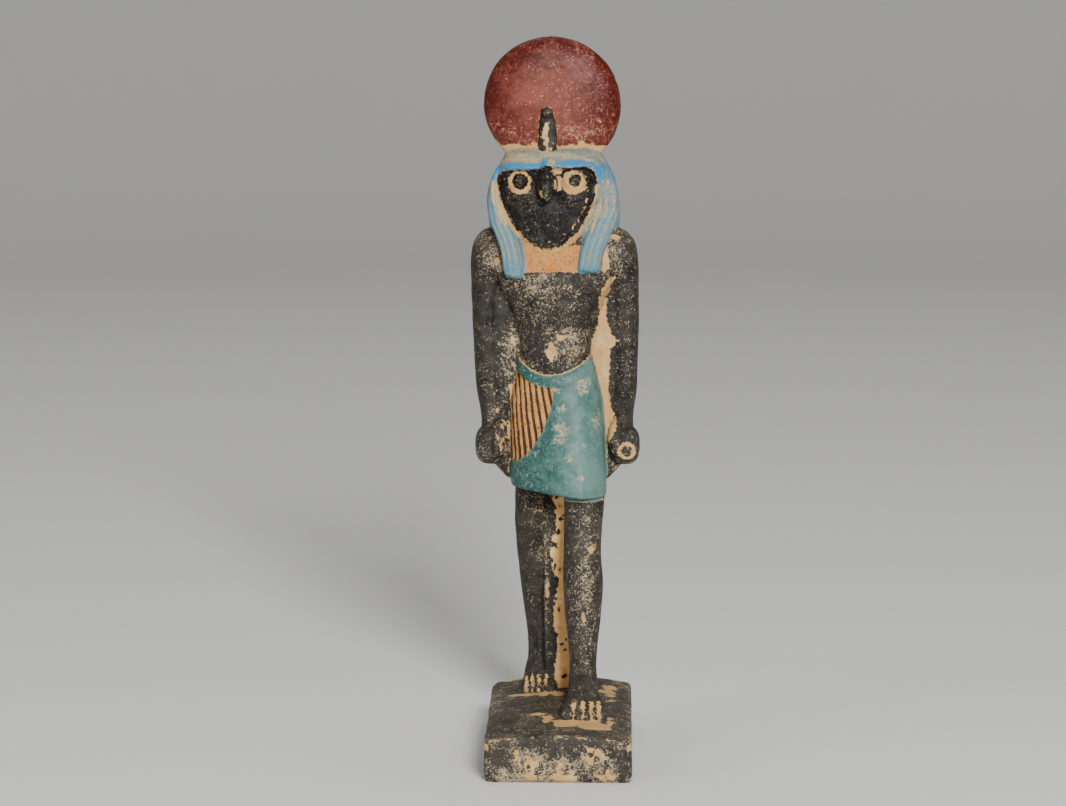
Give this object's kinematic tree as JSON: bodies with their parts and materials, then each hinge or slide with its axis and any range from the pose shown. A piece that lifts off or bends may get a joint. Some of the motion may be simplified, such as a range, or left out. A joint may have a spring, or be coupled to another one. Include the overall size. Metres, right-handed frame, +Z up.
{
  "type": "faience deity figure",
  "caption": "Standing falcon-headed deity statuette with a sun disc, striding on its own plinth; painted faience, for display.",
  "frame": {"origin": "centre of the plinth's flat underside", "axes": "+Z up through the figure, +X to the viewer's right, the figure faces -Y"},
  "size_m": [0.0529, 0.08, 0.2204],
  "materials": {
    "painted_faience": "worn matt paint over tan faience"
  },
  "bodies": {
    "root": {"deity_figure": "painted_faience"}
  },
  "joints": []
}
